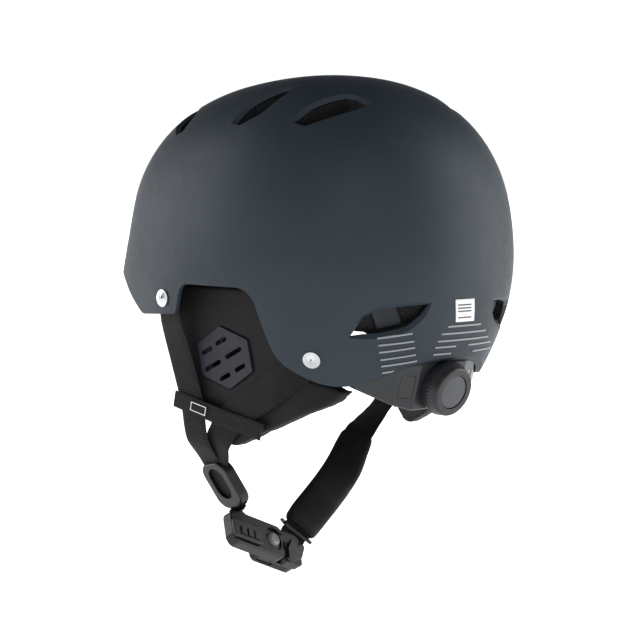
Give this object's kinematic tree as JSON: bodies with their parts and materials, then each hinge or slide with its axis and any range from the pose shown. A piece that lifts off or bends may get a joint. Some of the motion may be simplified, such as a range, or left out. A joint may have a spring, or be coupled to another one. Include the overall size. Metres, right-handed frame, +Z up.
{
  "type": "water helmet",
  "caption": "Hard-shell water sports helmet with slotted vents, foam liner, ear pads, webbing harness with magnetic chin buckle, and a dial-adjusted rear cradle.",
  "frame": {"origin": "reference point of the head, in the middle of the dome's widest ring", "axes": "+Z up through the crown, -Y out of the brow, +X to the wearer's left"},
  "size_m": [0.2282, 0.2767, 0.3289],
  "materials": {
    "shell_coating": "satin",
    "liner_foam": "matte foam",
    "comfort_fabric": "soft brushed fabric",
    "hook_tape": "hook and loop",
    "vent_plastic": "matte",
    "rivet_metal": "polished",
    "ear_foam": "matte closed-cell foam",
    "ear_insert": "satin",
    "webbing": "woven",
    "elastic": "ribbed elastic",
    "tag_fabric": "woven tape",
    "buckle_plastic": "satin",
    "lever_plastic": "satin",
    "button_plastic": "translucent gloss",
    "steel": "bright",
    "sleeve_neoprene": "soft matte",
    "cradle_plastic": "satin",
    "panel_plastic": "gloss",
    "dial_plastic": "satin",
    "dial_cap_plastic": "gloss",
    "gear_plastic": "natural",
    "arm_plastic": "flexible matte"
  },
  "bodies": {
    "shell": {"outer_shell": "shell_coating", "foam_liner": "liner_foam", "front_pad": "comfort_fabric", "crown_pad": "comfort_fabric", "rear_pad": "comfort_fabric", "left_side_pad": "comfort_fabric", "right_side_pad": "comfort_fabric", "hook_dots": "hook_tape", "vent_webs": "vent_plastic", "strap_rivets": "rivet_metal", "rivet_backings": "vent_plastic", "left_ear_pad": "ear_foam", "left_ear_vent": "ear_insert", "right_ear_pad": "ear_foam", "right_ear_vent": "ear_insert", "left_front_strap": "webbing", "left_rear_strap": "webbing", "right_front_strap": "webbing", "right_rear_strap": "webbing", "left_keeper_band": "elastic", "right_keeper_band": "elastic", "left_tag": "tag_fabric", "right_tag": "tag_fabric", "left_arm": "arm_plastic", "right_arm": "arm_plastic", "cradle_hanger": "arm_plastic", "buckle_socket": "buckle_plastic", "lever_pin": "steel", "lock_button": "button_plastic"},
    "left_slider": {"left_strap_slider": "buckle_plastic"},
    "right_slider": {"right_strap_slider": "buckle_plastic"},
    "cam": {"cam_lever": "lever_plastic"},
    "tongue": {"buckle_tongue": "buckle_plastic", "chin_strap": "webbing", "chin_pad": "sleeve_neoprene"},
    "thumb_lever": {"release_lever": "lever_plastic"},
    "ring": {"keeper_ring": "buckle_plastic"},
    "cradle": {"cradle_cover": "cradle_plastic", "cradle_plate": "cradle_plastic", "cradle_panels": "panel_plastic", "cradle_screws": "steel", "cradle_pad": "comfort_fabric", "detent_ring": "gear_plastic"},
    "dial": {"dial_knob": "dial_plastic", "dial_cap": "dial_cap_plastic", "dial_shaft": "gear_plastic"},
    "left_rack": {"left_rack": "gear_plastic"},
    "right_rack": {"right_rack": "gear_plastic"}
  },
  "joints": [
    {"name": "dial_turn", "type": "hinge", "parent": "cradle", "child": "dial", "pos_m": [0, 0.1115, -0.078], "axis": [0, -0.9613, 0.2756], "range_deg": [0, 240]},
    {"name": "left_rack_slide", "type": "slide", "parent": "cradle", "child": "left_rack", "axis": [-1, 0, 0], "range_m": [0, 0.0231], "deforming": ["left_arm"]},
    {"name": "right_rack_slide", "type": "slide", "parent": "cradle", "child": "right_rack", "axis": [1, 0, 0], "range_m": [0, 0.0231], "deforming": ["right_arm"]},
    {"name": "cradle_slide", "type": "slide", "parent": "shell", "child": "cradle", "axis": [0, -1, 0], "range_m": [0, 0.01759], "deforming": ["left_arm", "right_arm", "cradle_hanger"]},
    {"name": "left_slider_slide", "type": "slide", "parent": "shell", "child": "left_slider", "axis": [-0.4348, 0.2339, -0.8696], "range_m": [-0.006, 0.003], "deforming": ["left_front_strap", "left_rear_strap"]},
    {"name": "right_slider_slide", "type": "slide", "parent": "shell", "child": "right_slider", "axis": [0.02, -0.4999, -0.8658], "range_m": [-0.003, 0.006], "deforming": ["right_front_strap", "right_rear_strap", "chin_strap"]},
    {"name": "cam_lever_swing", "type": "hinge", "parent": "shell", "child": "cam", "pos_m": [0.06832, 0.00388, -0.17376], "axis": [0.9168, -0.0009, 0.3992], "range_deg": [0, 24]},
    {"name": "buckle_release", "type": "slide", "parent": "shell", "child": "tongue", "axis": [-0.3268, -0.576, 0.7493], "range_m": [0, 0.012], "deforming": ["chin_strap", "chin_pad"]},
    {"name": "thumb_lever_press", "type": "hinge", "parent": "tongue", "child": "thumb_lever", "pos_m": [0.03611, 0.00717, -0.19396], "axis": [-0.3268, -0.576, 0.7493], "range_deg": [0, 4], "stiffness_Nm_per_rad": 0.3},
    {"name": "keeper_ring_slide", "type": "slide", "parent": "tongue", "child": "ring", "axis": [0.5141, -0.4093, -0.7537], "range_m": [0, 0.001]}
  ],
  "couplings": [
    {"joint": "dial_turn", "follows": "cradle_slide", "rad_per_m": 238.09},
    {"joint": "left_rack_slide", "follows": "cradle_slide", "ratio": 1.3095},
    {"joint": "right_rack_slide", "follows": "cradle_slide", "ratio": 1.3095}
  ]
}
